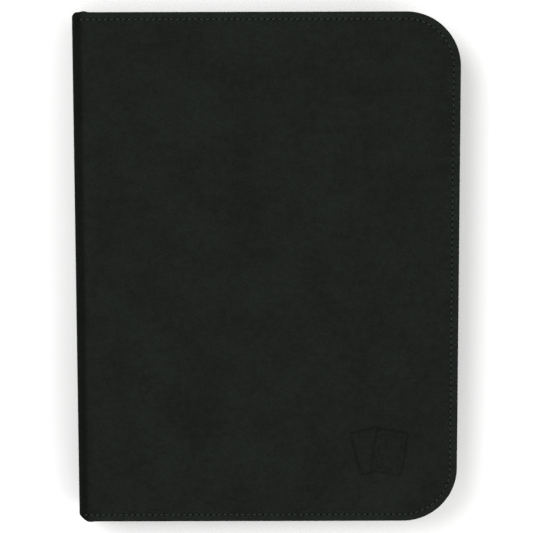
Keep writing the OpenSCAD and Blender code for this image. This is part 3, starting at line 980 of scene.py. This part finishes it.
def pages():
    film = shared_mesh("page_film_pattern", *two_faced(*pocket_films()), FILM)
    seam = shared_mesh("page_seam_pattern", *two_faced(*page_seams()), WELD)
    backings = {}
    for k in range(1, PAGES + 1):
        node = f"page_{k:02d}"
        lo, hi = box(node)
        x0 = round(lo.x, 3)
        if x0 not in backings:
            backings[x0] = shared_mesh("page_backing_pattern", *page_backing(x0), BACKING, smooth=False)
        for part, mesh in (("backing", backings[x0]), ("films", film), ("welds", seam)):
            thing = new_object(f"{node}_{part}", mesh)
            thing.location.z = (lo.z + hi.z) / 2 * MM
            settle(thing, node, "page_film", *([node] if part == "backing" else []))


pages()


# -------- slider, pull and hidden boards


def dress(node, material):
    """A better material on a CAD node whose shape is right."""
    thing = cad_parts[node]
    thing.data.materials.clear()
    thing.data.materials.append(material)


def softened(corners, r, steps=6):
    """A closed outline with each corner rounded off over a length r on both sides."""
    corners = np.asarray(corners, float)
    out = []
    for i, corner in enumerate(corners):
        before, after = corners[i - 1] - corner, corners[(i + 1) % len(corners)] - corner
        a = corner + before * min(r / np.hypot(*before), 0.48)
        b = corner + after * min(r / np.hypot(*after), 0.48)
        for t in np.linspace(0, 1, steps):
            out.append((1 - t) ** 2 * a + 2 * t * (1 - t) * corner + t * t * b)
    return np.array(out)


def slab(outline, low, high, edge):
    """A plate over an outline in (x, z), between two heights in y, with rounded edges."""
    d = np.roll(outline, -1, 0) - np.roll(outline, 1, 0)
    inward = np.stack([-d[:, 1], d[:, 0]], -1) / np.maximum(np.hypot(d[:, 0], d[:, 1]), 1e-9)[:, None]
    if np.sum(outline[:, 0] * np.roll(outline[:, 1], -1) - outline[:, 1] * np.roll(outline[:, 0], -1)) < 0:
        inward = -inward
    turn = [(edge * (1 - math.cos(a)), edge * (1 - math.sin(a))) for a in np.linspace(0, math.pi / 2, 4)]
    profile = [(inset, low + h) for inset, h in turn[::-1]] + [(inset, high - h) for inset, h in turn]
    rings = [(outline + inward * inset, y) for inset, y in profile]
    points = np.concatenate([rows_of(ring[:, 0], y, ring[:, 1]) for ring, y in rings])
    return points, capped(len(profile), len(outline), -1), points[:, [0, 2]]


def zip_slider():
    """The slider: two crowned plates with flanges, the wedge between them, and a bowed bail for the pull."""
    lo, hi = box("zip_slider")
    x0, zip_y, wide = lo.x, ZIP_IN - Y_HEAD, (hi.z - lo.z) / 2
    tail = wide - 1.1

    def outline(pairs, r):
        return softened([(x0 + u, Z_MID + v) for u, v in pairs], r)

    half = [(0, 1.5 - wide), (1.5, -wide), (7, -wide), (12, -tail)]
    shield = [*half, *[(u, -v) for u, v in half[::-1]]]
    crown = [(u + (6 - u) * 0.22, v * 0.74) for u, v in shield]
    solids = []
    for side in (-1, 1):

        def layer(shape, near, far, edge):
            low, high = sorted((zip_y + side * near, zip_y + side * far))
            solids.append(slab(shape, low, high, edge))

        layer(outline(shield, 1.6), 1.45, 2.5, 0.4)
        layer(outline(crown, 1.8), 2.3, 2.62, 0.14)
        for s in (-1, 1):
            flange = [(1.7, 2.85), (10.6, 2.85), (10.6, tail + 0.28), (7, wide - 0.05), (1.7, wide - 0.05)]
            layer(outline([(u, s * v) for u, v in flange], 0.5), 0.52, 1.6, 0.15)
    wedge = [(0.5, -0.3), (1.4, -0.4), (3.5, -0.12), (3.5, 0.12), (1.4, 0.4), (0.5, 0.3)]
    solids.append(slab(outline(wedge, 0.4), zip_y - 1.5, zip_y + 1.5, 0.05))
    # the bail: a strap bowed out over the pull's bar
    rows, cols = 33, 16
    t, a = np.linspace(0, 1, rows), np.linspace(math.pi, 0, rows)
    b = full_turn(cols)
    bow_x = x0 + 6 + 3.6 * squared(np.cos(a), 0.45)
    bow_y = zip_y - 2.3 - 2.0 * squared(np.sin(a), 0.45)
    d = np.stack([np.gradient(bow_x), np.gradient(bow_y)], -1)
    d /= np.hypot(d[:, 0], d[:, 1])[:, None]
    out = 0.42 * squared(np.sin(b), 0.6)
    strap = (1.2 - 0.15 * np.sin(math.pi * t)[:, None]) * squared(np.cos(b), 0.5)
    points = rows_of(bow_x[:, None] - d[:, 1:] * out, bow_y[:, None] + d[:, :1] * out, Z_MID + strap)
    solids.append((points, grid_faces(rows, cols, close=True), points[:, [0, 2]]))
    body = mesh_object("zip_slider_body", *joined(solids), METAL)
    body.data.set_sharp_from_angle(angle=math.radians(40))
    settle(body, "slider", "zip_metal", "zip_slider")


def pull_tab(corner=1.2, stitch_in=1.3, stitch_pitch=2.3):
    """The leatherette tab: two layers with rounded edges, sewn round, over the link's tongue."""
    lo, hi = box("zip_pull_tab")
    half_w, half_t, y = (hi.z - lo.z) / 2, (hi.y - lo.y) / 2, (lo.y + hi.y) / 2
    # the outline: a point and the way outward at each angle
    turns = [(hi.x - half_w, 0, half_w, np.linspace(-math.pi / 2, math.pi / 2, 21))]
    for sz, a0 in ((half_w - corner, math.pi / 2), (corner - half_w, math.pi)):
        turns.append((lo.x + corner, sz, corner, np.linspace(a0, a0 + math.pi / 2, 7)))
    ring = np.concatenate([rows_of(sx + r * np.cos(a), sz + r * np.sin(a), np.cos(a), np.sin(a))
                           for sx, sz, r, a in turns])
    layers = [(2.6, 0.95), (1.9, 1.0), (1.3, 0.86), (0.9, 1.0), (0.35, 0.9), (0.08, 0.6), (0, 0.0)]
    profile = layers + [(inset, -h) for inset, h in layers[-2::-1]]
    rings = [(ring[:, :2] - ring[:, 2:] * inset, y - h * half_t) for inset, h in profile]
    points = np.concatenate([rows_of(at[:, 0], level, Z_MID + at[:, 1]) for at, level in rings])
    faces = capped(len(profile), len(ring), -1)
    tab = mesh_object("pull_tab_leather", points, faces, points[:, [0, 2]], SUEDE)
    settle(tab, "pull", "cover_skin", "zip_pull_tab")

    # a line of stitches round the tab, on both faces
    line = ring[:, :2] - ring[:, 2:] * stitch_in
    line = np.vstack([line, line[:1]])
    run = run_along(line)
    count = int(round(run[-1] / stitch_pitch))
    a, t = full_turn(8), np.linspace(-1, 1, 7)[:, None]
    strands = []
    for k in range(count):
        at = np.linspace(k + 0.14, k + 0.86, len(t)) / count * run[-1]
        px, pz = np.interp(at, run, line[:, 0]), np.interp(at, run, line[:, 1])
        if np.hypot(px[3] - lo.x, pz[3]) < 2.6:
            continue
        way = np.stack([np.gradient(px), np.gradient(pz)], -1)
        way *= 0.22 / np.hypot(way[:, 0], way[:, 1])[:, None]
        for face in (-1, 1):
            high = half_t * 0.9 + (0.16 - 0.3 * t**4) + 0.18 * np.sin(a)
            points = rows_of(px[:, None] - way[:, 1:] * np.cos(a), y + face * high,
                             Z_MID + pz[:, None] + way[:, :1] * np.cos(a))
            strands.append((points, grid_faces(len(t), len(a), close=True, flip=face > 0), points[:, [0, 2]]))
    sewn = mesh_object("pull_tab_stitches", *joined(strands), THREAD)
    settle(sewn, "pull", "thread")


for node in ("back_board", "front_board", "spine_board"):
    dress(node, BOARD)
dress("page_hinge_strips", BACKING)
for node in ("zip_pull_link", "zip_pull_rivet"):
    dress(node, METAL)
zip_slider()
pull_tab()


# -------- camera, light and floor


def studio(floor_half=6000, floor_z=-0.2):
    m = Nodes("pale floor")
    tone = m.ramp(m.noise(m.uv(), 30, 2, 0.5), (0.3, (0.86, 0.86, 0.86)), (0.7, (0.9, 0.9, 0.9)))
    pale = m.surface(Base_Color=tone, Roughness=0.8)
    square = np.array([(-1, -1), (1, -1), (1, 1), (-1, 1)])
    corners = rows_of(*(square * floor_half).T, floor_z)
    mesh_object("studio_floor", corners, [(0, 1, 2, 3)], 500 + square * 500, pale, smooth=False)
    world = bpy.data.worlds.new("studio")
    bpy.context.scene.world = world
    world.use_nodes = True
    sky = world.node_tree.nodes["Background"].inputs
    sky["Color"].default_value = (1, 1, 0.99, 1)
    sky["Strength"].default_value = 0.75
    bpy.context.scene.view_settings.view_transform = "Standard"
    lamps = [("key", (-0.9, 0.7, 1.5), 1.2, 20), ("fill", (1.1, -0.5, 1.3), 1.4, 9)]
    lamps += [("low", (0.2, -1.5, 0.5), 0.9, 5)]
    for name, place, size, power in lamps:
        light = bpy.data.lights.new(name, "AREA")
        light.shape, light.size, light.energy = "DISK", size, power
        lamp = new_object(name, light)
        lamp.location = place
        lamp.rotation_euler = (Vector((0, 0, 0.01)) - Vector(place)).to_track_quat("-Z", "Y").to_euler()


def camera():
    """Square on to the front cover, a little towards the head, as in the photograph."""
    cam = bpy.data.cameras.new("camera")
    cam.sensor_fit = "HORIZONTAL"
    cam.lens = CAMERA_LENS
    cam.dof.use_dof = False
    eye = new_object("camera", cam)
    up, out = CAMERA_DISTANCE * math.sin(CAMERA_TILT), CAMERA_DISTANCE * math.cos(CAMERA_TILT)
    eye.location = (0, CAMERA_UP * MM + up, THICK * MM + out)
    eye.rotation_euler = (-CAMERA_TILT, 0, CAMERA_ROLL)
    bpy.context.scene.camera = eye


studio()
camera()
